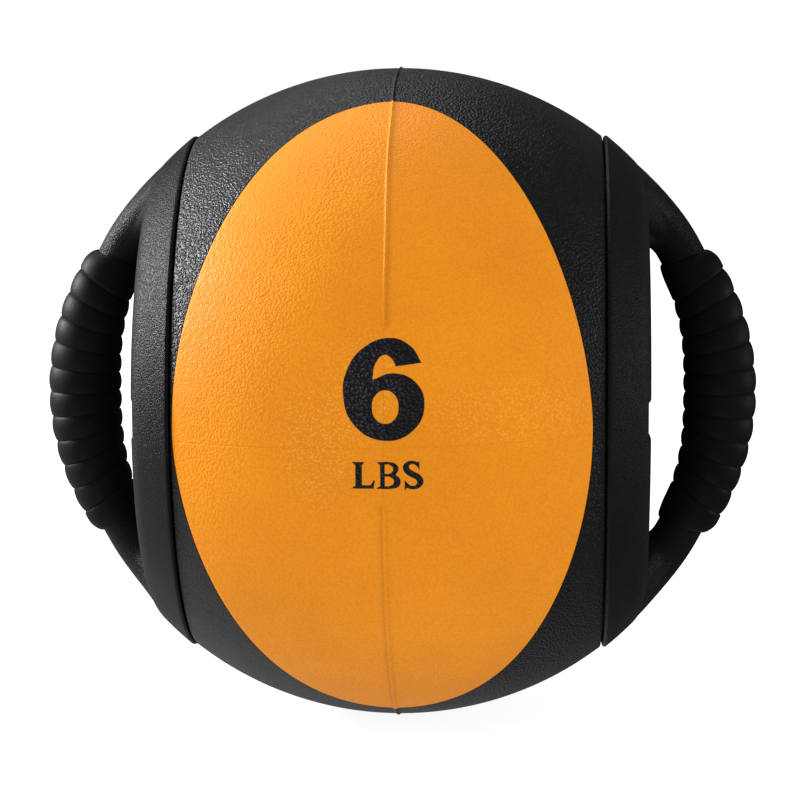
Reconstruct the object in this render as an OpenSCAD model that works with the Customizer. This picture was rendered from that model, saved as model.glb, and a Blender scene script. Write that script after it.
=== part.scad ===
// Dual-grip medicine ball: a thick hollow rubber ball made as two halves, with a moulded end cap and a
// curved handle on each side. Millimetres. The origin is the ball's centre. +X runs through the right
// handle, the orange weight panel faces -Y, and +Z points up along the handles' length.

/* [Ball] */
// Diameter of the ball across the middle
ball_d = 254; // [240:1:270]
// Thickness of the rubber wall
shell_wall = 9.5; // [9:0.5:14]
// How far past the axis the outline's arc is centred: the ball is slightly flatter than a sphere
outline_shift = 3.2; // [0:0.1:6]

/* [Orange panels] */
// Thickness of the orange skin
skin_t = 1.2; // [0.8:0.1:2]
// Half-width of a panel along the ball's axis
panel_half_w = 76.4; // [60:0.2:76.4]
// Angle round the ball from a panel's middle to its top
panel_half_angle = 65.5; // [50:0.5:75]
// Exponent of the panel's oval outline, where 2 is an ellipse
oval_power = 1.87; // [1.7:0.01:2.4]
// How far the panels sit to the left of the ball's middle
panel_shift = 2; // [0:0.1:2.4]
// How much further left a panel's top is than its middle
panel_lean = 1.5; // [0:0.1:2]

/* [End caps] */
// Distance from the middle of the ball to the seam
seam_x = 78.9; // [78.9:0.1:80.5]
// Width of the groove at the seam
groove_w = 0.7; // [0.4:0.1:1]
// Distance from the middle of the ball to the cap's flat rim
rim_x = 96; // [94:0.5:98]
// How far the cap stands proud of the ball
cap_proud = 2; // [1:0.1:3]
// Width of the smooth land beside the seam
land_w = 1.3; // [1:0.1:2]
// Radius of the rim's rounded outer edge
rim_round = 16; // [12:0.5:18]
// Radius of the finger dish at the rim
dish_r = 66; // [60:1:68]
// Depth of the finger dish
dish_depth = 21; // [15:0.5:24]
// Thickness of the cap's wall behind the dish
cap_wall = 10; // [8:0.5:12]
// Height of the trimmed notch on the rim's edge
notch_h = 14; // [8:1:20]
// Depth of the trimmed notch
notch_depth = 1.1; // [0.6:0.1:1.5]

/* [Handles] */
// Diameter of the textured handle bar
bar_d = 17.5; // [16:0.5:18]
// Radius of the arc along the middle of the bar
bar_arc_r = 115.25; // [112:0.25:117]
// Distance from the middle of the ball to that arc's centre
bar_arc_x = 8.65; // [6:0.05:10]
// Diameter of the stiff core inside the bar
core_d = 10; // [8:0.5:11]
// Diameter of the cross pins that lock the core's ends in the cap
pin_d = 8; // [6:0.5:9]
// Length of the cross pins
pin_len = 34; // [24:1:40]
// Radius of the flare where the bar runs into the rim
root_r = 22; // [16:0.5:24]
// Length of that flare along the bar
root_len = 20; // [14:1:24]

/* [Grips] */
// Number of ribs between the two end lips
rib_count = 10; // [6:2:12]
// Angle between ribs along the outer side
rib_angle = 5.92; // [5:0.02:6]
// Distance between ribs along the finger side
rib_pitch = 7.05; // [6:0.05:7.5]
// Depth of the grooves between ribs
rib_depth = 1; // [0.5:0.1:1.4]
// Radius of the arc that the outer side follows
palm_arc_r = 99.65; // [98:0.05:102]
// Distance from the middle of the ball to that arc's centre
palm_arc_x = 40.5; // [38:0.1:41]
// Distance from the middle of the ball to the finger side
finger_x = 111.3; // [110:0.1:112]

/* [Hidden] */
$fn = 96;

ball_r = ball_d / 2;
cap_r = ball_r + cap_proud;
far = 2 * ball_r;
outline_r = ball_r + outline_shift;

// The lap joint: the cap's collar sits inside the end of the half shell
collar_len = 10;
collar_t = 5.5;
collar_r = outline_radius(seam_x) - 6;
fit = 0.2;

// Angle between the points of a panel's outline
oval_step = 5;

// The land is a cylinder that meets the cap's round outside at its far edge
land_end_x = seam_x + groove_w + land_w;
land_r = sqrt(cap_r * cap_r - land_end_x * land_end_x);

// The dish is part of a sphere
dish_sphere_r = (dish_r * dish_r + dish_depth * dish_depth) / (2 * dish_depth);
dish_centre_x = rim_x - dish_depth + dish_sphere_r;

// Centre of the rim's rounded edge, as distance from the axis
rim_round_r = sqrt(pow(cap_r - rim_round, 2) - pow(rim_x - rim_round, 2));

// The bar enters the rim here, measured as an angle round the bar's arc
root_angle = acos((rim_x - bar_arc_x) / bar_arc_r);
root_z = bar_arc_r * sin(root_angle);
root_squash = 0.65;
root_waist_r = bar_d / 2 + 3.5;
mm_per_degree = bar_arc_r * PI / 180;
pin_angle = root_angle + 6.5;
core_end_angle = pin_angle + 1.5;
bore_r = bar_d / 2 + 0.25;

// Sections along a grip: whole numbers are the grooves, and the outermost number is the end lip
ribs_each_way = rib_count / 2;
grip_end = ribs_each_way + 1;
steps_per_rib = 4;
grip_sides = 20;
lip_outer_angle = 5.2;
lip_inner_z = 14;
finger_bow = 9.3;
finger_bow_z = 46.6;
finger_bow_power = 2.8;

// Radius of the ball's outline at a distance x along its axis
function outline_radius(x) = sqrt(outline_r * outline_r - x * x) - outline_shift;

// One side of a panel's outline at a share of its height, from -1 at the bottom to 1 at the top, seen
// along Y. The panel's two tips stay on the middle plane.
function oval_point(share, side) =
    let (
        lift = panel_half_angle * share,
        half_w = panel_half_w * pow(1 - pow(abs(share), oval_power), 1 / oval_power),
        offset = (panel_shift + panel_lean * sin(lift)) * (1 - pow(share, 12)),
        x = side * half_w - offset
    )
    [x, outline_radius(x) * sin(lift)];

// The whole outline, with its points closer together near the tips
function oval_outline() = concat(
    [for (t = [-90:oval_step:90]) oval_point(sin(t), 1)],
    [for (t = [90 - oval_step:-oval_step:-90 + oval_step]) oval_point(sin(t), -1)]
);

// Revolves a profile, drawn as [radius, distance along X], about the ball's axis
module about_x() {
    rotate([90, 0, 90]) rotate_extrude() children();
}

module ball_outline(inset) {
    translate([-outline_shift, 0]) circle(r = outline_r - inset, $fn = 180);
}

// The half of the drawing from the middle plane to a distance along the axis
module strip(from, to) {
    translate([0, from]) square([far, to - from]);
}

module half_shell_profile() {
    difference() {
        intersection() {
            ball_outline(0);
            strip(0, seam_x);
        }
        ball_outline(shell_wall);
        collar_room();
    }
}

// The room that the cap's collar takes inside the shell's end
module collar_room() {
    translate([0, seam_x - collar_len - fit]) square([collar_r + fit, far]);
}

// The panel's outline, carried from the middle plane out past the front (-1) or the rear (1)
module oval_prism(face) {
    translate([0, face > 0 ? far : 0, 0])
        rotate([90, 0, 0])
            linear_extrude(far)
                polygon(oval_outline());
}

// Turns a shape made for the right side (1) to the left (-1)
module on_side(side) {
    rotate([0, 0, side > 0 ? 0 : 180]) children();
}

// One half of the ball, with the pockets that the orange skins fill
module half_shell(side) {
    color("#202022") difference() {
        on_side(side) about_x() half_shell_profile();
        skin(side, -1);
        skin(side, 1);
    }
}

// The part of one half's outer layer inside the front (-1) or the rear (1) oval
module skin(side, face) {
    intersection() {
        on_side(side) about_x() difference() {
            intersection() {
                ball_outline(0);
                strip(0, seam_x);
            }
            ball_outline(skin_t);
        }
        oval_prism(face);
    }
}

module panel(side, face) {
    color("#f0921e") skin(side, face);
}

module rim_edge_cut() {
    difference() {
        polygon([
            [rim_round_r, rim_x - rim_round],
            [rim_round_r, rim_x + 2],
            [rim_round_r + 2 * rim_round, rim_x + 2],
            [rim_round_r, rim_x - rim_round] * 1.4
        ]);
        translate([rim_round_r, rim_x - rim_round]) circle(r = rim_round);
    }
}

// The dish and its wall reach further in than the seam. A solid ring under the rim holds the
// handle's ends.
module cap_outside_profile() {
    difference() {
        union() {
            intersection() {
                circle(r = cap_r, $fn = 180);
                strip(seam_x + groove_w, rim_x);
            }
            translate([0, rim_x - dish_depth - cap_wall]) square([dish_r, dish_depth]);
        }
        rim_edge_cut();
        translate([land_r, seam_x]) square([far, groove_w + land_w]);
        translate([0, dish_centre_x]) circle(r = dish_sphere_r, $fn = 180);
    }
}

// The hollow behind the dish's wall
module cap_inside_profile() {
    difference() {
        square([dish_r, rim_x]);
        translate([0, dish_centre_x]) circle(r = dish_sphere_r + cap_wall, $fn = 180);
    }
}

module collar_profile() {
    translate([collar_r - collar_t, seam_x - collar_len])
        square([collar_t, collar_len + groove_w + 1]);
}

// A stretch of an arc in the handle's plane, swept with a round section
module arc_rod(d, from_angle, to_angle) {
    translate([bar_arc_x, 0, 0])
        rotate([90, 0, 0])
            rotate([0, 0, from_angle])
                rotate_extrude(angle = to_angle - from_angle, $fn = 180)
                    translate([bar_arc_r, 0]) circle(d = d, $fn = 48);
}

// Places a child at an angle round the bar's arc, with +Z along the bar away from the ball's middle
module on_bar(angle) {
    translate([bar_arc_x, 0, 0])
        rotate([0, -angle, 0])
            translate([bar_arc_r, 0, 0])
                children();
}

// A thin disc across the bar, moved towards the arc's centre by inset
module bar_disc(angle, r, inset) {
    on_bar(angle) translate([-inset, 0, 0]) cylinder(r = r, h = 0.2, $fn = 28);
}

// The broad root of the handle, which narrows in two steps from the rim to the bar. It stays inside
// the bar's outer line.
module root_flare(side) {
    waist_angle = side * (root_angle - root_len / 3 / mm_per_degree);
    hull() {
        translate([rim_x - 7, 0, side * root_z])
            rotate([0, 90, 0])
                scale([root_squash, 1, 1]) cylinder(r = root_r, h = 2, $fn = 28);
        bar_disc(waist_angle, root_waist_r, root_waist_r - bar_d / 2 + 1);
    }
    hull() {
        bar_disc(waist_angle, root_waist_r, root_waist_r - bar_d / 2 + 1);
        bar_disc(side * (root_angle - root_len / mm_per_degree), bar_d / 2 - 1, 0);
    }
}

// A flat across the rim where the moulding's flash was trimmed
module rim_notch(face) {
    translate([rim_x - notch_depth, face > 0 ? dish_r - 6 : 6 - dish_r - far, -notch_h / 2])
        cube([far, far, notch_h]);
}

module end_cap() {
    color("#262628") difference() {
        union() {
            about_x() difference() {
                union() {
                    cap_outside_profile();
                    collar_profile();
                }
                cap_inside_profile();
            }
            arc_rod(bar_d, -root_angle - 4, root_angle + 4);
            root_flare(1);
            root_flare(-1);
        }
        arc_rod(core_d, -core_end_angle, core_end_angle);
        cross_pin(1);
        cross_pin(-1);
        rim_notch(1);
        rim_notch(-1);
    }
}

module handle_core() {
    color("#8a8c8f") difference() {
        arc_rod(core_d, -core_end_angle, core_end_angle);
        cross_pin(1);
        cross_pin(-1);
    }
}

module cross_pin(side) {
    on_bar(side * pin_angle)
        rotate([90, 0, 0])
            cylinder(d = pin_d, h = pin_len, center = true);
}

// How full a rib is at section s: 0 in a groove and 1 at the middle of the rib
function rib_fullness(s) = pow(abs(sin(180 * s)), 0.6);

// How far the end lip has closed down onto the bar: 0 along the ribs and 1 at the end face
function lip_close(s) =
    let (t = max(0, (abs(s) - ribs_each_way - 0.4) / 0.6))
    1 - sqrt(max(0, 1 - t * t));

// Outer edge of the grip at section s, in the handle's plane as [x, z]
function palm_point(s) =
    let (
        inner = min(abs(s), ribs_each_way),
        lip = abs(s) - inner,
        a = sign(s) * (inner * rib_angle + lip * lip_outer_angle)
    )
    [palm_arc_x + palm_arc_r * cos(a), palm_arc_r * sin(a)];

// Finger-side edge of the grip at section s, in the handle's plane as [x, z]
function finger_point(s) =
    let (
        inner = min(abs(s), ribs_each_way),
        z = inner * rib_pitch + (abs(s) - inner) * lip_inner_z
    )
    [finger_x - finger_bow * pow(z / finger_bow_z, finger_bow_power), sign(s) * z];

// Where the line from a to b crosses the middle of the bar
function bar_crossing(a, b) =
    let (
        d = b - a,
        f = a - [bar_arc_x, 0],
        qa = d * d,
        qb = 2 * (f * d),
        qc = f * f - bar_arc_r * bar_arc_r,
        k = (-qb - sqrt(qb * qb - 4 * qa * qc)) / (2 * qa),
        k2 = (-qb + sqrt(qb * qb - 4 * qa * qc)) / (2 * qa)
    )
    a + d * (k > 0 && k < 1 ? k : k2);

// A ring of points in the plane through the Y direction and the direction dir
function ring(centre, dir, r) = [
    for (i = [0:grip_sides - 1])
        let (
            a = 360 * i / grip_sides,
            p = centre + dir * r * cos(a)
        )
        [p[0], r * sin(a), p[1]]
];

// The outer ring and then the bore's ring at section s
function grip_section(s) =
    let (
        palm = palm_point(s),
        finger = finger_point(s),
        dir = (palm - finger) / norm(palm - finger),
        full_r = norm(palm - finger) / 2 - rib_depth * (1 - rib_fullness(s)) * (abs(s) > ribs_each_way ? 0.4 : 1),
        on_axis = bar_crossing(palm, finger),
        close = lip_close(s),
        centre = (palm + finger) / 2 * (1 - close) + on_axis * close,
        r = full_r * (1 - close) + (bore_r + 0.6) * close
    )
    concat(ring(centre, dir, r), ring(on_axis, dir, bore_r));

function grip_stations() = [
    for (i = [-grip_end * steps_per_rib:grip_end * steps_per_rib]) i / steps_per_rib
];

module grip() {
    stations = grip_stations();
    per = 2 * grip_sides;
    last = len(stations) - 1;
    points = [for (s = stations) each grip_section(s)];
    walls = [
        for (k = [0:last - 1], i = [0:grip_sides - 1])
            let (
                j = (i + 1) % grip_sides,
                a = k * per,
                b = (k + 1) * per
            )
            each [
                [a + i, b + i, b + j],
                [a + i, b + j, a + j],
                [a + grip_sides + i, b + grip_sides + j, b + grip_sides + i],
                [a + grip_sides + i, a + grip_sides + j, b + grip_sides + j]
            ]
    ];
    ends = [
        for (i = [0:grip_sides - 1])
            let (
                j = (i + 1) % grip_sides,
                b = last * per
            )
            each [
                [i, j, grip_sides + j],
                [i, grip_sides + j, grip_sides + i],
                [b + i, b + grip_sides + j, b + j],
                [b + i, b + grip_sides + i, b + grip_sides + j]
            ]
    ];
    color("#1b1b1d") polyhedron(points = points, faces = concat(walls, ends));
}

module pin(side) {
    color("#b9bbbe") cross_pin(side);
}

module left() {
    mirror([1, 0, 0]) children();
}

half_shell(-1);  // left_half_shell
half_shell(1);  // right_half_shell
panel(-1, -1);  // front_left_panel
panel(1, -1);  // front_right_panel
panel(-1, 1);  // rear_left_panel
panel(1, 1);  // rear_right_panel
left() end_cap();  // left_end_cap
end_cap();  // right_end_cap
left() handle_core();  // left_handle_core
handle_core();  // right_handle_core
left() pin(1);  // left_upper_pin
left() pin(-1);  // left_lower_pin
pin(1);  // right_upper_pin
pin(-1);  // right_lower_pin
left() grip();  // left_grip
grip();  // right_grip
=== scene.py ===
"""The looks of a dual-grip medicine ball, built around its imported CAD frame. Metres.

The origin is the ball's centre, +X runs through the right handle, the orange face with the weight mark
looks along -Y, and +Z points up. A side is -1 for left and 1 for right, and a face is -1 for front and
1 for rear. An angle called lift is measured round the X axis, up from the horizontal.
"""

from math import asin, atan2, copysign, cos, exp, hypot, pi, radians, sin, sqrt

import bmesh
import bpy
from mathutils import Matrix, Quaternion, Vector


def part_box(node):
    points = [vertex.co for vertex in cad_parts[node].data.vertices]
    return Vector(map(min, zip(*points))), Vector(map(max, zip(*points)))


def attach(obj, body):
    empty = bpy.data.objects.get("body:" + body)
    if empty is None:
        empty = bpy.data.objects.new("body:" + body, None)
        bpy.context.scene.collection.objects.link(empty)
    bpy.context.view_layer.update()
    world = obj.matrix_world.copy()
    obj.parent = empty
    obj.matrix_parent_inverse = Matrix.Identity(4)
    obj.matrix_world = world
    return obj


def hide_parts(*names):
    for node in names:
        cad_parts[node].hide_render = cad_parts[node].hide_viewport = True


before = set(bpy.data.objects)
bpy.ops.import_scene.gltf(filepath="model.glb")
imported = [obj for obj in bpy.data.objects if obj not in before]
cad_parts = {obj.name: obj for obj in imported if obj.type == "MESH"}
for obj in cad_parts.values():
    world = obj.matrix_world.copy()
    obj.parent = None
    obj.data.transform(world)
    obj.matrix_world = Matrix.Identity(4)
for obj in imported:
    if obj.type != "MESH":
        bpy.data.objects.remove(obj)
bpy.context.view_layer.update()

SIDES = {-1: "left", 1: "right"}
FACES = {-1: "front", 1: "rear"}
MM = 0.001

# The ball, as the CAD has it
BALL_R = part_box("right_half_shell")[1].z
SEAM_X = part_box("right_half_shell")[1].x
OUTLINE_SHIFT = 3.2 * MM
SHELL_WALL = 9.5 * MM
SKIN = 1.2 * MM
COLLAR_LEN = 10 * MM
COLLAR_T = 5.5 * MM
COLLAR_STEP = 6 * MM
SEAM_ROUND = 0.6 * MM
FIT = 0.2 * MM
SHELL_COLUMNS = 40
POCKET_COLUMNS = 12
INSIDE_COLUMNS = 10
SEAM_ROUND_STEPS = 4
TIP_ROWS = 22

# The outline of the orange panels
PANEL_HALF_W = 76.4 * MM
PANEL_HALF_ANGLE = radians(65.5)
OVAL_POWER = 1.87
PANEL_SHIFT = 2 * MM
PANEL_LEAN = 1.5 * MM
PANEL_GAP = 0.22 * MM
PANEL_ROUND = 0.35 * MM
PANEL_COLUMNS = 44
PANEL_UNDER_COLUMNS = 12
PANEL_ROUND_STEPS = 3
SHIFT_FADE_POWER = 12

# The raised flash along the middle plane
FLASH_H = 0.6 * MM
FLASH_HALF_W = 0.38 * MM
LOWER_FLASH_HALF_W = 0.62 * MM
FLASH_STEPS = [0, 0.1 * MM, 0.2 * MM, 0.3 * MM, 0.42 * MM, 0.6 * MM, 0.9 * MM, 1.3 * MM]
FLASH_ROOM = 4 * MM
TRIM_TOP = 39 * MM
TRIM_BOTTOM = -25 * MM
TRIMMED_SHARE = 0.1
TRIM_FADE = 2 * MM
WANDER_REACH = 6 * MM

# The flash's sideways waves, each (size, number round the ball, start), and its kink at the top
FLASH_WAVES = [(0.16 * MM, 5, 0.6), (0.1 * MM, 13, 0)]
TOP_KINK = 0.4 * MM
TOP_KINK_REACH = radians(11)

# Painted shade in bands beside the flash, standing in for the shadow it casts, each (place beside the
# middle plane, half width, strength)
UPPER_FLASH_SHADES = [(1.1 * MM, 0.6 * MM, 1)]
LOWER_FLASH_SHADES = [(-0.95 * MM, 0.4 * MM, 1), (1 * MM, 0.3 * MM, 0.6)]
# Painted shade along the line where the flash is trimmed: its half width and strength
TRIM_LINE_HALF_W = 0.2 * MM
TRIM_LINE_SHADE_STRENGTH = 0.7

# The faint groove along the equator
EQUATOR_Z = -3.7 * MM
EQUATOR_SLOPE = 0.023
EQUATOR_H = -0.16 * MM
EQUATOR_HALF_W = radians(0.1)
EQUATOR_BEND_REACH = radians(6)
EQUATOR_STEP = radians(0.06)
EQUATOR_STEPS_EACH_WAY = 6
EQUATOR_CLEAR = radians(0.5)

# The end caps
GROOVE_W = 0.7 * MM
LAND_W = 1.3 * MM
RIM_X = 96 * MM
CAP_R = BALL_R + 2 * MM
RIM_ROUND = 16 * MM
RIM_ROUND_X = RIM_X - RIM_ROUND
RIM_ROUND_R = sqrt((CAP_R - RIM_ROUND) ** 2 - RIM_ROUND_X**2)
RIM_ROUND_TURN = atan2(RIM_ROUND_R, RIM_ROUND_X)
DISH_R = 66 * MM
DISH_DEPTH = 21 * MM
DISH_LIP = 2 * MM
CAP_WALL = 10 * MM
NOTCH_H = 14 * MM
NOTCH_DEPTH = 1.1 * MM
NOTCH_REACH = 60 * MM
NOTCH_EDGE = 0.3 * MM
DISH_POINTS = 26
DISH_LIP_POINTS = 8
FLAT_POINTS = 9
ROUND_POINTS = 18
BAND_POINTS = 14

# The handles
BAR_R = 8.75 * MM
BAR_ARC_R = 115.25 * MM
BAR_ARC_X = 8.65 * MM
BAR_PLAIN_ANGLE = radians(30)
ROOT_Z = 77 * MM
ROOT_HALF_H = 18 * MM
ROOT_HALF_W = 27 * MM
ROOT_SUNK = 0.8 * MM
ROOT_CLOSED_AT = 12 * MM
ROOT_PULL = 1.05
ROOT_ROWS = 26
BAR_ROWS = 61
TUBE_SIDES = 64

# Directions in which a root's skin leaves the cap: away from the middle, towards it, and sideways
LEAVES_OUTER = Vector((0.73, 0, -0.68))
LEAVES_INNER = Vector((1, 0, 0.1))
LEAVES_BESIDE_X = 0.35

# The grips
RIBS_EACH_WAY = 5
RIB_ANGLE = radians(5.92)
RIB_PITCH = 7.05 * MM
RIB_DEPTH = 1 * MM
RIB_FULLNESS = 0.6
PALM_ARC_R = 99.65 * MM
PALM_ARC_X = 40.5 * MM
FINGER_X = 111.3 * MM
FINGER_BOW = 9.3 * MM
FINGER_BOW_Z = 46.6 * MM
FINGER_BOW_POWER = 2.8
LIP_OUTER_ANGLE = radians(5.2)
LIP_INNER_Z = 14 * MM
LIP_OPEN_SHARE = 0.4
LIP_GROOVE_SHARE = 0.4
LIP_ROWS = 22
LIP_END_T = 0.3 * MM
MOULD_LINE_H = 0.14 * MM
MOULD_LINE_HALF_W = 0.05
GRIP_BORE_R = BAR_R + 0.25 * MM
ROWS_PER_RIB = 18


# ---- Meshes ----

WELD_DISTANCE = 2e-6
SHORTEST_EDGE = 1e-7


def grid_faces(rows, columns, wrap_rows=True, wrap_columns=True):
    """Faces over a grid of points, joined end to end where it wraps."""
    last_row = rows if wrap_rows else rows - 1
    last_column = columns if wrap_columns else columns - 1
    return [
        (
            i * columns + j,
            i * columns + (j + 1) % columns,
            (i + 1) % rows * columns + (j + 1) % columns,
            (i + 1) % rows * columns + j,
        )
        for i in range(last_row)
        for j in range(last_column)
    ]


def fan(ring, centre):
    """Triangles from a ring of point numbers to a centre point."""
    return [(ring[k], ring[(k + 1) % len(ring)], centre) for k in range(len(ring))]


def make_piece(name, points, faces, material, sharp_degrees=38):
    """A welded, smooth-shaded object whose faces point outwards."""
    mesh = bpy.data.meshes.new(name)
    mesh.from_pydata(points, [], faces)
    tidy_mesh = bmesh.new()
    tidy_mesh.from_mesh(mesh)
    bmesh.ops.remove_doubles(tidy_mesh, verts=tidy_mesh.verts, dist=WELD_DISTANCE)
    bmesh.ops.dissolve_degenerate(tidy_mesh, edges=tidy_mesh.edges, dist=SHORTEST_EDGE)
    bmesh.ops.recalc_face_normals(tidy_mesh, faces=tidy_mesh.faces)
    tidy_mesh.to_mesh(mesh)
    tidy_mesh.free()
    mesh.shade_smooth()
    mesh.set_sharp_from_angle(angle=radians(sharp_degrees))
    mesh.materials.append(material)
    piece = bpy.data.objects.new(name, mesh)
    bpy.context.scene.collection.objects.link(piece)
    return piece


def place(piece, slot, *nodes):
    """Joins a piece to the CAD frame."""
    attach(piece, "root")
    if nodes:
        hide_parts(*nodes)


def smoothstep(low, high, value):
    """Rises smoothly from 0 at low to 1 at high."""
    t = min(1, max(0, (value - low) / (high - low)))
    return t * t * (3 - 2 * t)


def spread(start, end, count):
    """Evenly spaced values from start to end, both included."""
    return [start + (end - start) * k / (count - 1) for k in range(count)]


def bell(value, half_width):
    """A smooth bump of height 1 at 0, down to about a third at the half width."""
    return exp(-((value / half_width) ** 2))


# ---- The ball's surface ----


def outline_radius(x, inset=0):
    """Radius of the ball at a distance x along its axis."""
    r = BALL_R + OUTLINE_SHIFT - inset
    return sqrt(r * r - x * x) - OUTLINE_SHIFT


def panel_edge(lift, side):
    """How far a panel reaches from the middle plane at this lift."""
    share = min(1, abs(lift) / PANEL_HALF_ANGLE)
    half_w = PANEL_HALF_W * (1 - share**OVAL_POWER) ** (1 / OVAL_POWER)
    offset = (PANEL_SHIFT + PANEL_LEAN * sin(lift)) * (1 - share**SHIFT_FADE_POWER)
    return half_w - side * offset


def equator_lift(x):
    """Lift of the groove round the middle, which slopes a little."""
    return asin((EQUATOR_Z + EQUATOR_SLOPE * x) / outline_radius(x))


def trimmed(z, face):
    """How far the flash is cut back at this height, from 0 to 1: only around the weight mark."""
    if face > 0:
        return 0
    above_bottom = smoothstep(TRIM_BOTTOM, TRIM_BOTTOM + TRIM_FADE, z)
    return above_bottom * (1 - smoothstep(TRIM_TOP - TRIM_FADE, TRIM_TOP, z))


def flash_height(u, lift, face):
    """Height of the flash at a distance u from the middle plane."""
    z = BALL_R * sin(lift)
    height = FLASH_H * (1 - (1 - TRIMMED_SHARE) * trimmed(z, face))
    half_w = FLASH_HALF_W
    if face < 0:
        half_w += (LOWER_FLASH_HALF_W - FLASH_HALF_W) * (1 - smoothstep(TRIM_BOTTOM, 0, z))
    return height * bell(u, half_w)


def flash_wander(turn):
    """Sideways wander of the flash at an angle round the whole ball from the front."""
    waves = sum(size * sin(count * turn + start) for size, count, start in FLASH_WAVES)
    return waves + TOP_KINK * bell(turn - pi / 2, TOP_KINK_REACH)


def paint_flash_shade(piece):
    """Stores how much painted shade each point gets: bands beside the flash that stand in for its
    shadow, or a dark line where the flash is trimmed.
    """
    painted_shade = piece.data.attributes.new("painted_flash_shade", "FLOAT", "POINT")
    for vertex, entry in zip(piece.data.vertices, painted_shade.data):
        x, y, z = vertex.co
        x -= flash_wander(atan2(z, -y))
        cut = trimmed(z, copysign(1, y))
        shade_bands = UPPER_FLASH_SHADES if z > 0 else LOWER_FLASH_SHADES
        beside = sum(strength * bell(x - at, half_w) for at, half_w, strength in shade_bands)
        trim_line_shade = TRIM_LINE_SHADE_STRENGTH * bell(x, TRIM_LINE_HALF_W)
        entry.value = (1 - cut) * beside + cut * trim_line_shade


def ball_point(side, face, lift, u, depth=0, raised=True):
    """The point at a distance u from the middle plane and a depth under the ball's outer surface."""
    turn = lift if face < 0 else pi - lift
    x = side * u + flash_wander(turn) * bell(u, WANDER_REACH)
    near_line = lift - equator_lift(0)
    lift += (equator_lift(side * u) - equator_lift(0)) * bell(near_line, EQUATOR_BEND_REACH)
    r = outline_radius(u) - depth
    if raised:
        r += flash_height(u, lift, face) + EQUATOR_H * bell(near_line, EQUATOR_HALF_W)
    return (x, face * r * cos(lift), r * sin(lift))


def panel_lifts():
    """Lifts from a panel's bottom tip to its top tip, closer together near the tips and the equator."""
    lifts = [PANEL_HALF_ANGLE * sin(radians(t)) for t in range(-90, 91)]
    line = equator_lift(0)
    lifts = [lift for lift in lifts if abs(lift - line) > EQUATOR_CLEAR]
    each_way = EQUATOR_STEPS_EACH_WAY
    lifts += [line + EQUATOR_STEP * k for k in range(-each_way, each_way + 1)]
    return sorted(lifts)


def half_shell(side):
    """One black half, with the pockets under its two panels, as a closed surface."""
    gap = pi / 2 - PANEL_HALF_ANGLE
    tops = [PANEL_HALF_ANGLE + gap * k / TIP_ROWS for k in range(1, TIP_ROWS)]
    lifts = [-t for t in reversed(tops)] + panel_lifts() + tops
    rows = [(-1, lift) for lift in lifts] + [(-1, pi / 2)]
    rows += [(1, lift) for lift in reversed(lifts)] + [(1, -pi / 2)]
    points = [p for face, lift in rows for p in shell_row(side, face, lift)]
    return points, grid_faces(len(rows), len(points) // len(rows))


def shell_row(side, face, lift):
    """One closed loop across the shell: pocket, outer surface, seam, and back along the inside."""
    edge = panel_edge(lift, side)
    inside_oval = abs(lift) < PANEL_HALF_ANGLE
    pocket = [edge * k / POCKET_COLUMNS for k in range(POCKET_COLUMNS + 1)]
    row = [ball_point(side, face, lift, u, SKIN * inside_oval, not inside_oval) for u in pocket]
    start = [edge + step for step in FLASH_STEPS]
    round_start = SEAM_X - SEAM_ROUND
    outer = start + spread(start[-1], round_start, SHELL_COLUMNS)[1:]
    row += [ball_point(side, face, lift, min(u, round_start)) for u in outer]
    for a in spread(0, pi / 2, SEAM_ROUND_STEPS + 1)[1:]:
        u = SEAM_X - SEAM_ROUND * (1 - sin(a))
        row.append(ball_point(side, face, lift, u, SEAM_ROUND * (1 - cos(a))))
    collar_r = outline_radius(SEAM_X) - COLLAR_STEP + FIT
    step_x = SEAM_X - COLLAR_LEN - FIT
    inner = [(SEAM_X, collar_r), (step_x, collar_r)]
    inner += [(u, outline_radius(u, SHELL_WALL)) for u in spread(step_x, 0, INSIDE_COLUMNS)]
    turn_z, turn_y = sin(lift), face * cos(lift)
    row += [(side * u, r * turn_y, r * turn_z) for u, r in inner]
    return row


def panel(side, face):
    """One orange skin, slightly rounded at its outer edge."""
    points = []
    lifts = panel_lifts()
    for lift in lifts:
        edge = max(0, panel_edge(lift, side) - PANEL_GAP)
        turn_in = min(PANEL_ROUND, edge / 2)
        squeeze = min(1, edge / FLASH_ROOM)
        start = [step * squeeze for step in FLASH_STEPS]
        across = start + spread(start[-1], max(start[-1], edge - turn_in), PANEL_COLUMNS)[1:]
        points += [ball_point(side, face, lift, u) for u in across]
        for a in spread(0, pi / 2, PANEL_ROUND_STEPS + 1)[1:]:
            u = edge - turn_in * (1 - sin(a))
            points.append(ball_point(side, face, lift, u, PANEL_ROUND * (1 - cos(a))))
        under = spread(edge, 0, PANEL_UNDER_COLUMNS)
        points += [ball_point(side, face, lift, u, SKIN, False) for u in under]
    return points, grid_faces(len(lifts), len(points) // len(lifts), wrap_rows=False)


# ---- The end caps and handles ----


def dish_x(r):
    """Distance along the axis of the dish's surface at a radius r."""
    sphere_r = (DISH_R**2 + DISH_DEPTH**2) / (2 * DISH_DEPTH)
    return RIM_X - DISH_DEPTH + sphere_r - sqrt(sphere_r**2 - r * r)


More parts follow.
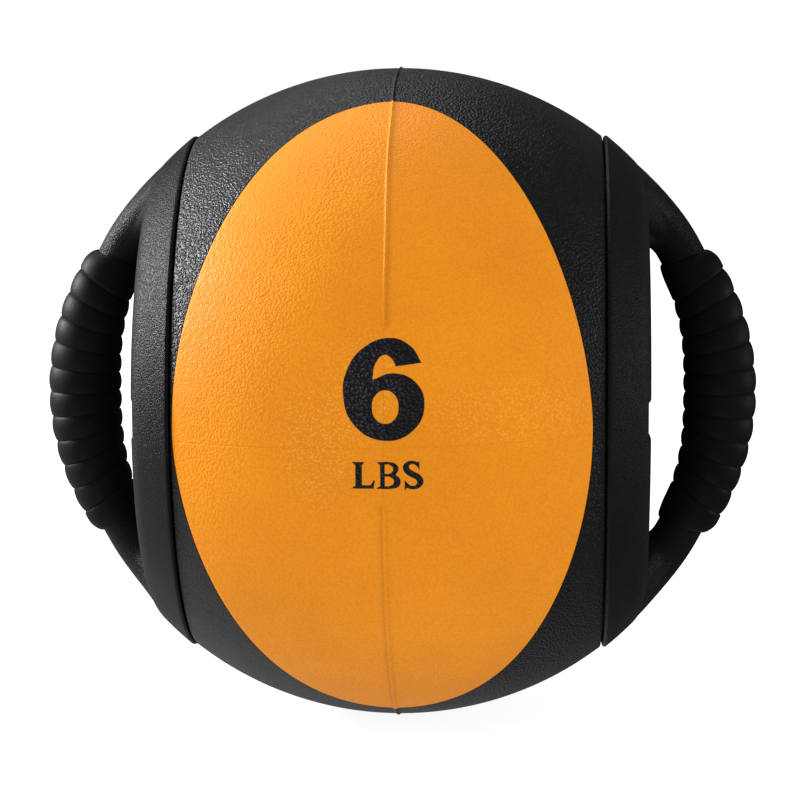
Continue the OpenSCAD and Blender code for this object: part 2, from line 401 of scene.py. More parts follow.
def cap_profile():
    """The cap's section as (distance along the axis, radius), from the dish's centre out and back."""
    dish = [(dish_x(r), r) for r in spread(0, DISH_R - DISH_LIP, DISH_POINTS)]
    edge_slope = atan2(dish_x(DISH_R - DISH_LIP) - dish_x(DISH_R - 2 * DISH_LIP), DISH_LIP)
    start_x, start_r = dish[-1]
    lip_points = []
    for t in spread(0, 1, DISH_LIP_POINTS)[1:]:
        x = start_x + (RIM_X - start_x) * (1 - (1 - t) ** 2)
        outward = t * cos(edge_slope) + t * t * (1 - cos(edge_slope))
        r = start_r + (DISH_R + 1.4 * DISH_LIP - start_r) * outward
        lip_points.append((x, r))
    flat = [(RIM_X, r) for r in spread(lip_points[-1][1], RIM_ROUND_R, FLAT_POINTS)[1:]]
    rounding = [
        (RIM_ROUND_X + RIM_ROUND * cos(a), RIM_ROUND_R + RIM_ROUND * sin(a))
        for a in spread(0, RIM_ROUND_TURN, ROUND_POINTS)[1:]
    ]
    land_x = SEAM_X + GROOVE_W
    band_x = land_x + LAND_W
    band_turns = spread(pi / 2 - RIM_ROUND_TURN, asin(band_x / CAP_R), BAND_POINTS)[1:]
    band = [(CAP_R * sin(a), CAP_R * cos(a)) for a in band_turns]
    band_r = band[-1][1]
    # The land's two eased edges, in millimetres along the axis and across it
    corner = [(band_x - x * MM, band_r + r * MM) for x, r in ((0.15, 0.06), (0.35, 0.05), (0.6, 0))]
    corner += [(land_x + x * MM, band_r - r * MM) for x, r in ((0.5, 0.1), (0.2, 0.2), (0, 0.45))]
    collar_r = outline_radius(SEAM_X) - COLLAR_STEP
    collar_x = SEAM_X - COLLAR_LEN
    back_x = dish_x(0) - CAP_WALL
    inside = [
        (land_x, collar_r),
        (collar_x, collar_r),
        (collar_x, collar_r - COLLAR_T),
        (land_x, collar_r - COLLAR_T),
        (land_x, DISH_R),
        (dish_x(DISH_R * 0.85) - CAP_WALL, DISH_R),
        (dish_x(DISH_R * 0.6) - CAP_WALL, DISH_R * 0.6),
        (dish_x(DISH_R * 0.3) - CAP_WALL, DISH_R * 0.3),
        (back_x, 0),
    ]
    return dish + lip_points + flat + rounding + band + corner + inside


def notched(x, y, z):
    """Distance along the axis after the flash's flat is trimmed across the rim."""
    floor_x = RIM_X - NOTCH_DEPTH
    if x <= floor_x or abs(y) < NOTCH_REACH:
        return x
    share = 1 - smoothstep(NOTCH_H / 2 - NOTCH_EDGE, NOTCH_H / 2 + NOTCH_EDGE, abs(z))
    return x - (x - floor_x) * share


def cap_turns():
    """Angles round the axis: one a degree, and four a degree at the edges of the rim's two notches."""
    fine = [k * 0.25 for k in range(14, 30)]
    quarter = [k for k in range(0, 91) if not 3 < k < 8] + fine
    half = sorted(set(quarter + [180 - k for k in quarter]))
    return [radians(k) for k in half] + [radians(360 - k) for k in reversed(half[1:-1])]


def end_cap():
    """The right cap's revolved body."""
    profile = cap_profile()
    turns = cap_turns()
    points = []
    for turn in turns:
        for x, r in profile:
            y, z = -r * cos(turn), r * sin(turn)
            points.append((notched(x, y, z), y, z))
    return points, grid_faces(len(turns), len(profile), wrap_columns=False)


def bar_frame(angle):
    """Centre of the bar and the direction out from its arc's centre, at an angle round the arc."""
    outward = Vector((cos(angle), 0, sin(angle)))
    return Vector((BAR_ARC_X, 0, 0)) + outward * BAR_ARC_R, outward


def bar_ring(angle, r):
    """A ring round the bar at an angle round its arc."""
    centre, outward = bar_frame(angle)
    return [
        centre + (outward * cos(a) + Vector((0, 1, 0)) * sin(a)) * r
        for a in (2 * pi * k / TUBE_SIDES for k in range(TUBE_SIDES))
    ]


def cap_surface(y, z, sunk):
    """A point just under the cap's surface, found from its distance from the axis."""
    r = hypot(y, z)
    if r < DISH_R:
        x = dish_x(r)
    elif r < RIM_ROUND_R:
        x = RIM_X
    elif r < CAP_R * sin(RIM_ROUND_TURN):
        x = RIM_ROUND_X + sqrt(RIM_ROUND**2 - (r - RIM_ROUND_R) ** 2)
    else:
        x = sqrt(CAP_R**2 - r * r)
    return Vector((x - sunk, y, z))


def root_rings():
    """Rings from the cap's surface, where the root is broad, to the plain bar."""
    centre, outward = bar_frame(BAR_PLAIN_ANGLE)
    down_bar = Vector((outward.z, 0, -outward.x))
    starts = []
    for k in range(TUBE_SIDES):
        a = 2 * pi * k / TUBE_SIDES
        starts.append(cap_surface(ROOT_HALF_W * sin(a), ROOT_Z + ROOT_HALF_H * cos(a), ROOT_SUNK))
    ends = bar_ring(BAR_PLAIN_ANGLE, BAR_R)
    rings = []
    for t in spread(0, 1, ROOT_ROWS):
        ring = []
        for k, (start, end) in enumerate(zip(starts, ends)):
            a = 2 * pi * k / TUBE_SIDES
            outer, inner, beside = max(0, cos(a)), max(0, -cos(a)), abs(sin(a))
            leave = LEAVES_OUTER * outer + LEAVES_INNER * inner
            leave += Vector((LEAVES_BESIDE_X, -sin(a) / max(beside, 0.01), 0)) * beside
            pull = (end - start).length * ROOT_PULL
            t2, t3 = t * t, t * t * t
            ring.append(
                start * (2 * t3 - 3 * t2 + 1)
                + end * (3 * t2 - 2 * t3)
                + leave.normalized() * pull * (t3 - 2 * t2 + t)
                + down_bar * pull * (t3 - t2)
            )
        rings.append(ring)
    return rings


def handle_skin():
    """The rubber of the right handle from root to root, with both ends closed inside the cap."""
    upper = root_rings()
    plain_angles = spread(BAR_PLAIN_ANGLE, -BAR_PLAIN_ANGLE, BAR_ROWS)[1:-1]
    plain = [bar_ring(a, BAR_R) for a in plain_angles]
    lower = [[Vector((p.x, p.y, -p.z)) for p in ring] for ring in reversed(upper)]
    rings = upper + plain + lower
    points = [p for ring in rings for p in ring]
    faces = grid_faces(len(rings), TUBE_SIDES, wrap_rows=False)
    for side, first in ((1, 0), (-1, (len(rings) - 1) * TUBE_SIDES)):
        points.append(Vector((RIM_X - ROOT_CLOSED_AT, 0, side * ROOT_Z)))
        faces += fan([first + k for k in range(TUBE_SIDES)], len(points) - 1)
    return points, faces


# ---- The grips ----


def rib_crest(s):
    """1 on top of a rib and 0 in a groove, where s counts ribs from the grip's middle."""
    return abs(sin(pi * s)) ** RIB_FULLNESS


def palm_point(s):
    """The grip's outer edge, s ribs from its middle."""
    inner = min(abs(s), RIBS_EACH_WAY)
    a = copysign(inner * RIB_ANGLE + (abs(s) - inner) * LIP_OUTER_ANGLE, s)
    return Vector((PALM_ARC_X + PALM_ARC_R * cos(a), 0, PALM_ARC_R * sin(a)))


def finger_point(s):
    """The grip's inner edge, s ribs from its middle."""
    inner = min(abs(s), RIBS_EACH_WAY)
    z = inner * RIB_PITCH + (abs(s) - inner) * LIP_INNER_Z
    x = FINGER_X - FINGER_BOW * (z / FINGER_BOW_Z) ** FINGER_BOW_POWER
    return Vector((x, 0, copysign(z, s)))


def bar_crossing(a, b):
    """Where the line from a to b crosses the middle of the bar."""
    along = b - a
    start = a - Vector((BAR_ARC_X, 0, 0))
    qa = along.dot(along)
    qb = 2 * start.dot(along)
    root = sqrt(qb * qb - 4 * qa * (start.dot(start) - BAR_ARC_R**2))
    near = (-qb - root) / (2 * qa)
    return a + along * (near if 0 < near < 1 else (-qb + root) / (2 * qa))


def grip_rows():
    """Sections along the grip: whole numbers are the grooves, with more rows towards the end lips."""
    ribs = spread(-RIBS_EACH_WAY, RIBS_EACH_WAY, 2 * RIBS_EACH_WAY * ROWS_PER_RIB + 1)
    lip = [RIBS_EACH_WAY + sin(pi / 2 * k / LIP_ROWS) for k in range(1, LIP_ROWS + 1)]
    return [-s for s in reversed(lip)] + ribs + lip


def grip():
    """The ribbed sleeve of the right handle, closed between its outside and its bore."""
    outside, bore = [], []
    turns = [2 * pi * k / TUBE_SIDES for k in range(TUBE_SIDES)]
    for s in grip_rows():
        palm, finger = palm_point(s), finger_point(s)
        across = (palm - finger).normalized()
        on_axis = bar_crossing(palm, finger)
        depth = RIB_DEPTH * (1 - rib_crest(s)) * (LIP_GROOVE_SHARE if abs(s) > RIBS_EACH_WAY else 1)
        closing = max(0, (abs(s) - RIBS_EACH_WAY - LIP_OPEN_SHARE) / (1 - LIP_OPEN_SHARE))
        close = 1 - sqrt(max(0, 1 - closing * closing))
        centre = ((palm + finger) / 2).lerp(on_axis, close)
        r = ((palm - finger).length / 2 - depth) * (1 - close) + (GRIP_BORE_R + LIP_END_T) * close
        for a in turns:
            front = bell(a - pi / 2, MOULD_LINE_HALF_W)
            mould_line = MOULD_LINE_H * (front + bell(a - 3 * pi / 2, MOULD_LINE_HALF_W))
            ray = across * cos(a) + Vector((0, sin(a), 0))
            outside.append(centre + ray * (r + mould_line * (1 - close)))
            bore.append(on_axis + ray * GRIP_BORE_R)
    rows = len(outside) // TUBE_SIDES
    bore_rows = [bore[i * TUBE_SIDES : (i + 1) * TUBE_SIDES] for i in range(rows)]
    points = outside + [p for ring in reversed(bore_rows) for p in ring]
    return points, grid_faces(2 * rows, TUBE_SIDES)


def mirrored(points, side):
    """Points of the right side, or the same ones turned over for the left."""
    return [(side * p[0], p[1], p[2]) for p in points]


# ---- The weight mark ----

# Each outline is a closed loop of (across, up) in millimetres from the glyph's lower left corner.
# A third entry marks a sharp corner; the curve runs smoothly through the other points.
CORNER = True
SIX = [
    [
        (27.6, 27.3, CORNER), (23.9, 32.9), (16.6, 35.9), (6.5, 32), (1.3, 24.6), (0, 16.5),
        (3.6, 5.8), (14.6, 0), (24.8, 3.7), (28.7, 12.9), (25.5, 20.6), (17.6, 23.7),
        (10.4, 21.4, CORNER), (11.3, 26.8), (14.6, 30.1), (17.3, 28.6), (18.6, 26.1, CORNER),
    ],
    [
        (14.9, 17.8), (11.5, 16.1), (10.2, 11.9), (11.5, 7.7),
        (14.9, 6), (18.3, 7.7), (19.6, 11.9), (18.3, 16.1),
    ],
]
LETTER_L = [
    [
        (0, 0, CORNER), (1.5, 1, CORNER), (1.5, 8.5, CORNER), (0.3, 9.6, CORNER),
        (4.8, 9.6, CORNER), (3.8, 8.5, CORNER), (3.8, 1.2, CORNER), (6.8, 1.2, CORNER),
        (8, 3, CORNER), (8.4, 3, CORNER), (7.9, 0, CORNER),
    ]
]
LETTER_B = [
    [
        (0, 0, CORNER), (1.5, 1, CORNER), (1.5, 8.6, CORNER), (0.3, 9.6, CORNER), (5.2, 9.6),
        (7.3, 8.8), (8, 7.1), (6.9, 5, CORNER), (8.2, 4), (8.7, 2.5), (7.9, 0.7), (5.2, 0),
    ],
    [(3.1, 8.8, CORNER), (4.9, 8.7), (6.1, 7), (4.9, 5.5), (3.1, 5.4, CORNER)],
    [(3.1, 4.5, CORNER), (5, 4.3), (6.4, 2.6), (5, 1), (3.1, 0.9, CORNER)],
]
LETTER_S = [
    [
        (5.6, 10, CORNER), (5, 9.6, CORNER), (3, 10.1), (0.8, 9.4), (-0.1, 7.6), (0.9, 5.5),
        (3, 4.1), (4.6, 3.1), (4.8, 1.9), (3.4, 1), (1.7, 1.7), (0.5, 3.2, CORNER),
        (0.4, -0.7, CORNER), (1, 0.3, CORNER), (3.6, -0.2), (6.3, 0.9), (7, 3.1), (5.9, 4.9),
        (3.8, 6.2), (2.2, 7.3), (2, 8.3), (3.1, 9), (4.5, 8.4), (5.7, 6.7, CORNER),
    ]
]

# Where the glyphs' lower left corners go, in millimetres across and up from the ball's centre
SIX_PLACE = (-14.1, -1)
LETTERS_Z = -18.3
LETTERS = [(-11.4, LETTER_L), (-2.6, LETTER_B), (7.1, LETTER_S)]

INK_T = 0.09 * MM
INK_SUNK = 0.05 * MM
CUT_APART = 2 * MM
CUTS = range(-10, 20)
CUT_WELD = 1e-6


def add_loop(curve, loop, across, up):
    """Adds one glyph outline to a flat curve."""
    spline = curve.splines.new("BEZIER")
    spline.bezier_points.add(len(loop) - 1)
    for point, entry in zip(spline.bezier_points, loop):
        point.co = ((across + entry[0]) * MM, (up + entry[1]) * MM, 0)
        handle = "VECTOR" if len(entry) > 2 else "AUTO"
        point.handle_left_type = handle
        point.handle_right_type = handle
    spline.use_cyclic_u = True
    spline.resolution_u = 8


def weight_mark(material):
    """The printed weight, filled as a flat mesh, cut fine, laid on the ball and given a thickness."""
    curve = bpy.data.curves.new("weight_mark_outline", "CURVE")
    curve.dimensions = "2D"
    curve.fill_mode = "BOTH"
    for loop in SIX:
        add_loop(curve, loop, *SIX_PLACE)
    for across, loops in LETTERS:
        for loop in loops:
            add_loop(curve, loop, across, LETTERS_Z)
    outline = bpy.data.objects.new("weight_mark_outline", curve)
    bpy.context.scene.collection.objects.link(outline)
    flat = bpy.data.meshes.new_from_object(outline.evaluated_get(bpy.context.evaluated_depsgraph_get()))
    bpy.data.objects.remove(outline)
    cut = bmesh.new()
    cut.from_mesh(flat)
    for k in CUTS:
        for axis in ((1, 0, 0), (0, 1, 0)):
            everything = cut.verts[:] + cut.edges[:] + cut.faces[:]
            bmesh.ops.bisect_plane(
                cut, geom=everything, plane_co=Vector(axis) * CUT_APART * k, plane_no=axis
            )
    bmesh.ops.triangulate(cut, faces=cut.faces)
    bmesh.ops.remove_doubles(cut, verts=cut.verts, dist=CUT_WELD)
    for vertex in cut.verts:
        x, z = vertex.co.x, vertex.co.y
        r = outline_radius(x) - INK_SUNK
        vertex.co = (x, -sqrt(r * r - z * z), z)
    outer = list(cut.verts)
    inner = {v: cut.verts.new(v.co) for v in outer}
    for vertex in outer:
        vertex.co += vertex.co.normalized() * (INK_T + INK_SUNK)
    outer_faces = list(cut.faces)
    rims = [e for e in cut.edges if len(e.link_faces) == 1]
    for face in outer_faces:
        cut.faces.new([inner[v] for v in reversed(face.verts)])
    for edge in rims:
        a, b = edge.verts
        cut.faces.new([a, b, inner[b], inner[a]])
    cut.to_mesh(flat)
    cut.free()
    points = [v.co for v in flat.vertices]
    faces = [f.vertices[:] for f in flat.polygons]
    return make_piece("weight_mark", points, faces, material)


# ---- Materials ----

# Places on the front where the grain's crests are painted lighter as glints, a painted highlight, each a
# centre and a half size
GLINT_PATCHES = [
    ((0.044, -0.118, 0.008), (0.03, 0.06, 0.0125)),
    ((-0.024, -0.12, -0.003), (0.015, 0.06, 0.026)),
    ((-0.007, -0.12, 0.018), (0.016, 0.06, 0.022)),
]

# The (low, high) of each height, distance or noise that becomes a shade, a patch or a polish
CELL_EDGES = (0.1, 0.75)
GRAIN_CRESTS = (0.76, 1.2)
GRAIN_CREASES = (0.2, 0.9)
GLINT_PATCH_EDGES = (0.6, 1.1)
TONE_RANGE = (0.32, 0.68)
POLISH_RANGE = (0.3, 0.7)

# How far noise pulls the grain about, in grains, and how much of the height is fine noise
GRAIN_PULL = 0.9
FINE_SHARE = 0.45

# Painted shade in the grain's creases and painted light on its crests: the brightness of each
CREASE_SHADE = 0.93
CREST_SHADE = 1.03

# A Mix node's two colours going in and its colour coming out, whose names are not unique
MIX_A, MIX_B, MIXED = 6, 7, 2


def node_adder(tree):
    """A function that adds a node to the tree with its values set."""

    def add(kind, **values):
        node = tree.nodes.new(kind)
        for key, value in values.items():
            if key in node.inputs:
                node.inputs[key].default_value = value
            else:
                setattr(node, key, value)
        return node

    return add


def new_material(name):
    """A plain node material, with the functions that link its nodes and add new ones."""
    material = bpy.data.materials.new(name)
    material.use_nodes = True
    tree = material.node_tree
    return material, tree.links.new, tree.nodes["Principled BSDF"], node_adder(tree)


def remap(link, add, socket, source, target):
    """A socket whose values are stretched from one (low, high) pair to another."""
    node = add("ShaderNodeMapRange")
    for name, value in zip(("From Min", "From Max", "To Min", "To Max"), (*source, *target)):
        node.inputs[name].default_value = value
    link(socket, node.inputs["Value"])
    return node.outputs[0]


def multiplied(link, add, first, second):
    """A socket with the product of two sockets."""
    node = add("ShaderNodeMath", operation="MULTIPLY")
    link(first, node.inputs[0])
    link(second, node.inputs[1])
    return node.outputs[0]


def leather_height(link, add, grain_size):
    """Places on the object, and the height there of a pebbled grain: rounded cells with thin creases."""
    where = add("ShaderNodeTexCoord")
    sway = add("ShaderNodeTexNoise", Scale=0.45 / grain_size, Detail=2.0)
    link(where.outputs["Object"], sway.inputs["Vector"])
    pull = add("ShaderNodeVectorMath", operation="MULTIPLY_ADD")
    pull.inputs[1].default_value = (grain_size * GRAIN_PULL,) * 3
    link(sway.outputs["Color"], pull.inputs[0])
    link(where.outputs["Object"], pull.inputs[2])
    cells = add("ShaderNodeTexVoronoi", feature="SMOOTH_F1", Scale=1 / grain_size, Smoothness=0.35)
    link(pull.outputs[0], cells.inputs["Vector"])
    pebble = remap(link, add, cells.outputs["Distance"], CELL_EDGES, (1, 0))
    fine = add("ShaderNodeTexNoise", Scale=1.8 / grain_size, Detail=3.0, Roughness=0.6)
    link(where.outputs["Object"], fine.inputs["Vector"])
    both = add("ShaderNodeMath", operation="MULTIPLY_ADD")
    both.inputs[1].default_value = FINE_SHARE
    link(fine.outputs["Fac"], both.inputs[0])
    link(pebble, both.inputs[2])
    return where.outputs["Object"], both.outputs[0]


def painted_glints(link, add, where, height, colour, glint_colour):
    """A colour whose grain crests are painted lighter inside the patches, as painted glints."""
    crest = remap(link, add, height, GRAIN_CRESTS, (0, 1))
    for centre, half_size in GLINT_PATCHES:
        patch = add("ShaderNodeMapping", vector_type="TEXTURE", Location=centre, Scale=half_size)
        link(where, patch.inputs["Vector"])
        reach = add("ShaderNodeVectorMath", operation="LENGTH")
        link(patch.outputs[0], reach.inputs[0])
        inside = remap(link, add, reach.outputs["Value"], GLINT_PATCH_EDGES, (1, 0))
        glinted = add("ShaderNodeMix", data_type="RGBA")
        glinted.inputs[MIX_B].default_value = (*glint_colour, 1)
        link(multiplied(link, add, inside, crest), glinted.inputs["Factor"])
        link(colour, glinted.inputs[MIX_A])
        colour = glinted.outputs[MIXED]
    return colour


def rubber(
    name,
    colours,
    roughness,
    grain_size,
    grain_depth,
    specular,
    extra_crease_shade=0,
    glint_colour=None,
    painted_flash_shade_strength=0,
):
    """Moulded rubber: a pebbled grain, slow changes of tone, and a polish that wear has made uneven.

    The extra darkness in the grain's creases is painted shade, the rubbed colour on the crests inside
    the patches is painted glints, and the flash shade is how much painted shade darkens the bands beside
    the flash.
    """
    material, link, shader, add = new_material(name)
    where, height = leather_height(link, add, grain_size)
    tone = add("ShaderNodeTexNoise", Scale=22.0, Detail=5.0, Roughness=0.6)
    link(where, tone.inputs["Vector"])
    ramp = add("ShaderNodeValToRGB")
    for element, position, end_colour in zip(ramp.color_ramp.elements, TONE_RANGE, colours):
        element.position = position
        element.color = (*end_colour, 1)
    link(tone.outputs["Fac"], ramp.inputs["Fac"])
    # Painted shade in the grain's creases and painted light on its crests, multiplied into the colour
    painted_shade = add("ShaderNodeMix", data_type="RGBA", blend_type="MULTIPLY")
    painted_shade.inputs["Factor"].default_value = 1
    link(ramp.outputs["Color"], painted_shade.inputs[MIX_A])
    shade = remap(link, add, height, GRAIN_CREASES, (CREASE_SHADE - extra_crease_shade, CREST_SHADE))
    link(shade, painted_shade.inputs[MIX_B])
    colour = painted_shade.outputs[MIXED]
    # Painted shade beside the flash and along its trimmed line, read from the points' stored shade
    if painted_flash_shade_strength:
        line = add("ShaderNodeAttribute", attribute_name="painted_flash_shade")
        darker = add("ShaderNodeMix", data_type="RGBA", blend_type="MULTIPLY")
        darker.inputs[MIX_B].default_value = (0, 0, 0, 1)
        strength = remap(link, add, line.outputs["Fac"], (0, 1), (0, painted_flash_shade_strength))
        link(strength, darker.inputs["Factor"])
        link(colour, darker.inputs[MIX_A])
        colour = darker.outputs[MIXED]
    # Painted glints: lighter colour on the grain's crests inside the patches
    if glint_colour:
        colour = painted_glints(link, add, where, height, colour, glint_colour)
    link(colour, shader.inputs["Base Color"])
    polish = add("ShaderNodeTexNoise", Scale=60.0, Detail=4.0, Roughness=0.7)
    link(where, polish.inputs["Vector"])
    gloss = remap(link, add, polish.outputs["Fac"], POLISH_RANGE, roughness)
    link(gloss, shader.inputs["Roughness"])
    bump = add("ShaderNodeBump", Strength=1.0, Distance=grain_depth)
    link(height, bump.inputs["Height"])
    link(bump.outputs[0], shader.inputs["Normal"])
    shader.inputs["Specular IOR Level"].default_value = specular
    return material


def brushed_steel(name, tint, roughness):
    """Drawn steel rod with fine lines along its length."""
    material, link, shader, add = new_material(name)
    where = add("ShaderNodeTexCoord")
    stretch = add("ShaderNodeMapping", vector_type="POINT")
    stretch.inputs["Scale"].default_value = (1, 1, 0.04)
    link(where.outputs["Object"], stretch.inputs["Vector"])
    lines = add("ShaderNodeTexNoise", Scale=2500.0, Detail=4.0)
    link(stretch.outputs[0], lines.inputs["Vector"])
    ramp = add("ShaderNodeValToRGB")
    ramp.color_ramp.elements[0].color = (tint * 0.75, tint * 0.76, tint * 0.78, 1)
    ramp.color_ramp.elements[1].color = (tint, tint, tint * 1.01, 1)
    link(lines.outputs["Fac"], ramp.inputs["Fac"])
    link(ramp.outputs["Color"], shader.inputs["Base Color"])
    gloss = remap(link, add, lines.outputs["Fac"], (0, 1), (roughness, roughness + 0.2))
    link(gloss, shader.inputs["Roughness"])
    bump = add("ShaderNodeBump", Strength=0.5, Distance=0.02 * MM)
    link(lines.outputs["Fac"], bump.inputs["Height"])
    link(bump.outputs[0], shader.inputs["Normal"])
    shader.inputs["Metallic"].default_value = 1
    return material


BLACK_TONES = ((0.0055, 0.0049, 0.0066), (0.0088, 0.0079, 0.0103))

orange_rubber = rubber(
    "orange_rubber",
    colours=((0.84, 0.268, 0.003), (0.92, 0.302, 0.005)),
    roughness=(0.42, 0.55),
    grain_size=1 * MM,
    grain_depth=0.18 * MM,
    specular=0.2,
    glint_colour=(1, 0.4, 0.04),
    painted_flash_shade_strength=0.2,
)
black_rubber = rubber(
    "black_rubber",
    colours=BLACK_TONES,
    roughness=(0.32, 0.42),
    grain_size=0.95 * MM,
    grain_depth=0.3 * MM,
    specular=0.4,
    extra_crease_shade=0.1,
)
cap_rubber = rubber(
    "cap_rubber",
    colours=BLACK_TONES,
    roughness=(0.36, 0.46),
    grain_size=0.6 * MM,
    grain_depth=0.14 * MM,
    specular=0.16,
    extra_crease_shade=0.1,
)
grip_rubber = rubber(
    "grip_rubber",
    colours=((0.0036, 0.0032, 0.0045), (0.0056, 0.005, 0.0066)),
    roughness=(0.48, 0.58),
    grain_size=0.9 * MM,
    grain_depth=0.03 * MM,
    specular=0.15,
)
mark_ink = rubber(
    "mark_ink",
    colours=((0.005, 0.005, 0.008), (0.008, 0.008, 0.011)),
    roughness=(0.22, 0.34),
    grain_size=1.15 * MM,
    grain_depth=0.6 * MM,
    specular=0.5,
    glint_colour=(0.06, 0.06, 0.08),
)
core_steel = brushed_steel("core_steel", 0.55, 0.32)
pin_steel = brushed_steel("pin_steel", 0.7, 0.22)


# ---- Pieces ----


def coat(node, material):
    """Gives a CAD node its material."""
    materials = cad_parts[node].data.materials
    materials.clear()
    materials.append(material)


for side, side_name in SIDES.items():
    points, faces = half_shell(side)
    shell = make_piece(f"{side_name}_ball_half", points, faces, black_rubber)
    place(shell, "black_rubber", f"{side_name}_half_shell")

    for face, face_name in FACES.items():
        points, faces = panel(side, face)
        skin = make_piece(f"{face_name}_{side_name}_orange_skin", points, faces, orange_rubber)
        # Stores the painted shade beside the flash on the orange skin
        paint_flash_shade(skin)
        place(skin, "orange_rubber", f"{face_name}_{side_name}_panel")

    cap_points, cap_faces = end_cap()
    skin_points, skin_faces = handle_skin()
    joined = cap_points + skin_points
    joined_faces = cap_faces + [tuple(i + len(cap_points) for i in f) for f in skin_faces]
    cap = make_piece(f"{side_name}_handle_cap", mirrored(joined, side), joined_faces, cap_rubber)
    place(cap, "cap_rubber", f"{side_name}_end_cap")

    points, faces = grip()
    sleeve_name = f"{side_name}_ribbed_grip"
    sleeve = make_piece(sleeve_name, mirrored(points, side), faces, grip_rubber, sharp_degrees=60)
    place(sleeve, "grip_rubber", f"{side_name}_grip")

    coat(f"{side_name}_handle_core", core_steel)
    for level in ("upper", "lower"):
        coat(f"{side_name}_{level}_pin", pin_steel)

place(weight_mark(mark_ink), "black_rubber")


# ---- Floor, light and camera ----

FLOOR_R = 2.4
FLOOR_RINGS = 12
FLOOR_SIDES = 72
FLOOR_GREYS = (0.28, 0.32)
FLOOR_GLOW = (0.9, 1)
FLOOR_GLOW_REACH = (0.03, 0.45)
TENT_LIGHT = 0.82
TENT_SHINE = 0.08
TABLE_SHINE = 0.65
TABLE_TOWARDS = (-0.7, 0, -0.7)
TABLE_REACH = (0.15, 0.9)
TENT_SEEN = 1.05
CAMERA_AZIMUTH = radians(2.89)
CAMERA_ELEVATION = radians(7.72)
CAMERA_ROLL = radians(-0.24)
CAMERA_DISTANCE = 1.1346
CAMERA_LENS = 128.9
SENSOR_W = 36
AIM_RIGHT = -0.35 * MM
AIM_UP = -3.67 * MM


def studio_floor():
    """A round white floor under the ball."""
    floor_z = -BALL_R - FLASH_H
    turns = [2 * pi * j / FLOOR_SIDES for j in range(FLOOR_SIDES)]
    radii = [FLOOR_R * k / FLOOR_RINGS for k in range(1, FLOOR_RINGS + 1)]
    points = [(r * cos(turn), r * sin(turn), floor_z) for r in radii for turn in turns]
    faces = grid_faces(FLOOR_RINGS, FLOOR_SIDES, wrap_rows=False)
    points.append((0, 0, floor_z))
    faces += fan(list(range(FLOOR_SIDES)), len(points) - 1)
    material, link, shader, add = new_material("studio_white")
    where = add("ShaderNodeTexCoord")
    noise = add("ShaderNodeTexNoise", Scale=3.0, Detail=4.0)
    link(where.outputs["Object"], noise.inputs["Vector"])
    tint = add("ShaderNodeValToRGB")
    for element, grey in zip(tint.color_ramp.elements, FLOOR_GREYS):
        element.color = (grey, grey, grey, 1)
    link(noise.outputs["Fac"], tint.inputs["Fac"])
    link(tint.outputs["Color"], shader.inputs["Base Color"])
    shader.inputs["Roughness"].default_value = 0.9
    shader.inputs["Specular IOR Level"].default_value = 0
    shader.inputs["Emission Color"].default_value = (1, 1, 1, 1)
    away = add("ShaderNodeVectorMath", operation="LENGTH")
    link(where.outputs["Object"], away.inputs[0])
    glow = remap(link, add, away.outputs["Value"], FLOOR_GLOW_REACH, FLOOR_GLOW)
    link(glow, shader.inputs["Emission Strength"])
    return make_piece("studio_floor", points, faces, material)


def softbox(name, place_at, size, watts, in_gloss=True):
    """An area light that faces the ball's centre."""
    light = bpy.data.lights.new(name, "AREA")
    light.shape = "RECTANGLE"
    light.size, light.size_y = size
    light.energy = watts
    lamp = bpy.data.objects.new(name, light)
    lamp.location = place_at
    lamp.visible_glossy = in_gloss
    lamp.rotation_mode = "QUATERNION"
    lamp.rotation_quaternion = (-Vector(place_at)).to_track_quat("-Z", "Y")
    bpy.context.scene.collection.objects.link(lamp)


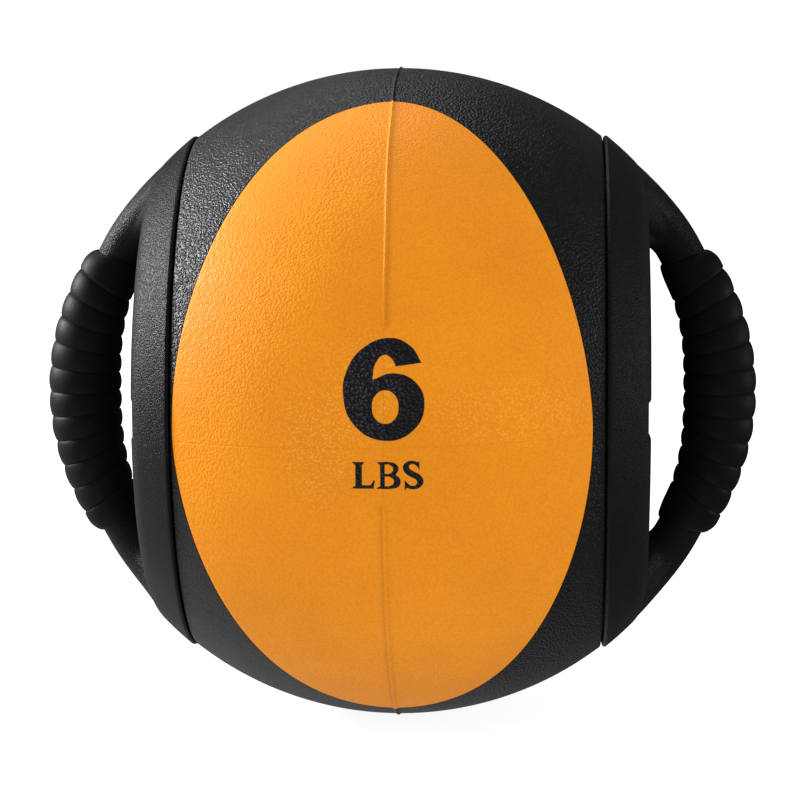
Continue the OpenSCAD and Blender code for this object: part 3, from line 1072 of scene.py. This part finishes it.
def studio_world():
    """A light tent: even light on the colours, a dim shine in the gloss, and a white background.

    Its shine grows low on the left, as if a pale table were there.
    """
    world = bpy.data.worlds.new("studio")
    world.use_nodes = True
    world.cycles.sampling_method = "NONE"
    tree = world.node_tree
    link = tree.links.new
    add = node_adder(tree)
    ray = add("ShaderNodeLightPath")

    def glow(strength):
        """A white light."""
        return add("ShaderNodeBackground", Color=(1, 1, 1, 1), Strength=strength)

    def choose(kind_of_ray, otherwise, chosen):
        """One light for this kind of ray, and the other for the rest."""
        node = add("ShaderNodeMixShader")
        link(ray.outputs[kind_of_ray], node.inputs[0])
        link(otherwise.outputs[0], node.inputs[1])
        link(chosen.outputs[0], node.inputs[2])
        return node

    shine = glow(TENT_SHINE)
    towards = add("ShaderNodeTexCoord")
    low_left = add("ShaderNodeVectorMath", operation="DOT_PRODUCT")
    low_left.inputs[1].default_value = TABLE_TOWARDS
    link(towards.outputs["Generated"], low_left.inputs[0])
    table = remap(link, add, low_left.outputs["Value"], TABLE_REACH, (TENT_SHINE, TABLE_SHINE))
    link(table, shine.inputs["Strength"])
    lighting = choose("Is Glossy Ray", glow(TENT_LIGHT), shine)
    seen = choose("Is Camera Ray", lighting, glow(TENT_SEEN))
    link(seen.outputs[0], tree.nodes["World Output"].inputs["Surface"])
    return world


floor = studio_floor()
floor.visible_glossy = False
floor.visible_diffuse = False

softbox("front_box", place_at=(0.6, -3.2, 0.15), size=(3, 1.4), watts=17, in_gloss=False)
softbox("left_box", place_at=(-1.9, 0.5, 0.77), size=(0.5, 0.5), watts=58)
softbox("top_box", place_at=(-0.6, 0.9, 1.7), size=(1.4, 0.9), watts=11)
softbox("right_box", place_at=(1.9, 0.3, 0.1), size=(0.8, 0.6), watts=4.5)
bpy.context.scene.world = studio_world()

camera_data = bpy.data.cameras.new("camera")
camera_data.lens = CAMERA_LENS
camera_data.sensor_width = SENSOR_W
camera_data.clip_start = 0.05
camera_data.clip_end = 50
camera = bpy.data.objects.new("camera", camera_data)
back = Vector((
    sin(CAMERA_AZIMUTH) * cos(CAMERA_ELEVATION),
    -cos(CAMERA_AZIMUTH) * cos(CAMERA_ELEVATION),
    sin(CAMERA_ELEVATION),
))
turned = (-back).to_track_quat("-Z", "Y")
camera.rotation_mode = "QUATERNION"
camera.rotation_quaternion = turned @ Quaternion((0, 0, 1), CAMERA_ROLL)
camera.location = back * CAMERA_DISTANCE + turned @ Vector((AIM_RIGHT, AIM_UP, 0))
bpy.context.scene.collection.objects.link(camera)
bpy.context.scene.camera = camera
bpy.context.scene.view_settings.view_transform = "Standard"
